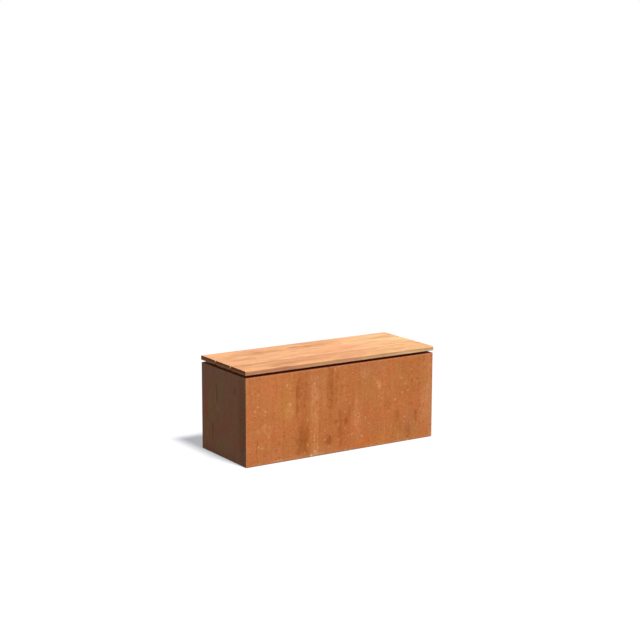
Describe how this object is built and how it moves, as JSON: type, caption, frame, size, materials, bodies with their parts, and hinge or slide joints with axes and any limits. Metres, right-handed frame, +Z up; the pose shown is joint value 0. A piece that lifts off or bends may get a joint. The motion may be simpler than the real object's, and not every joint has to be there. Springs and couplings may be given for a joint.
{
  "type": "bench with planter",
  "caption": "Box bench of weathering steel with a hardwood board seat that lifts off the planter trough inside.",
  "frame": {"origin": "on the ground, under the middle of the box", "axes": "+X along the seat, to the right seen from the front; +Y from the front to the rear; +Z up"},
  "size_m": [1.004, 0.394, 0.43],
  "materials": {
    "weathering_steel": "stable rust patina of weathering steel, matt, streaked and speckled",
    "hardwood": "planed hardwood, oiled, fine straight grain",
    "dark_coated_steel": "black powder coat, satin",
    "black_rubber": "matt",
    "black_plastic": "matt",
    "stainless_steel": "satin"
  },
  "bodies": {
    "planter": {"front_wall": "weathering_steel", "rear_wall": "weathering_steel", "left_end_wall": "weathering_steel", "right_end_wall": "weathering_steel", "floor_tray": "weathering_steel", "wall_tie": "weathering_steel"},
    "seat": {"seat_board_front": "hardwood", "seat_board_middle": "hardwood", "seat_board_rear": "hardwood", "cross_bar_left": "dark_coated_steel", "cross_bar_middle": "dark_coated_steel", "cross_bar_right": "dark_coated_steel", "rest_pad_left_front": "black_rubber", "rest_pad_left_rear": "black_rubber", "rest_pad_middle_front": "black_rubber", "rest_pad_middle_rear": "black_rubber", "rest_pad_right_front": "black_rubber", "rest_pad_right_rear": "black_rubber", "locating_block_left_front": "black_plastic", "locating_block_left_rear": "black_plastic", "locating_block_middle_front": "black_plastic", "locating_block_middle_rear": "black_plastic", "locating_block_right_front": "black_plastic", "locating_block_right_rear": "black_plastic", "board_screws_left": "stainless_steel", "board_screws_middle": "stainless_steel", "board_screws_right": "stainless_steel", "block_screws_left": "stainless_steel", "block_screws_middle": "stainless_steel", "block_screws_right": "stainless_steel"}
  },
  "joints": [
    {"name": "seat_lift", "type": "slide", "parent": "planter", "child": "seat", "axis": [0, 0, 1], "range_m": [0, 0.4]}
  ]
}
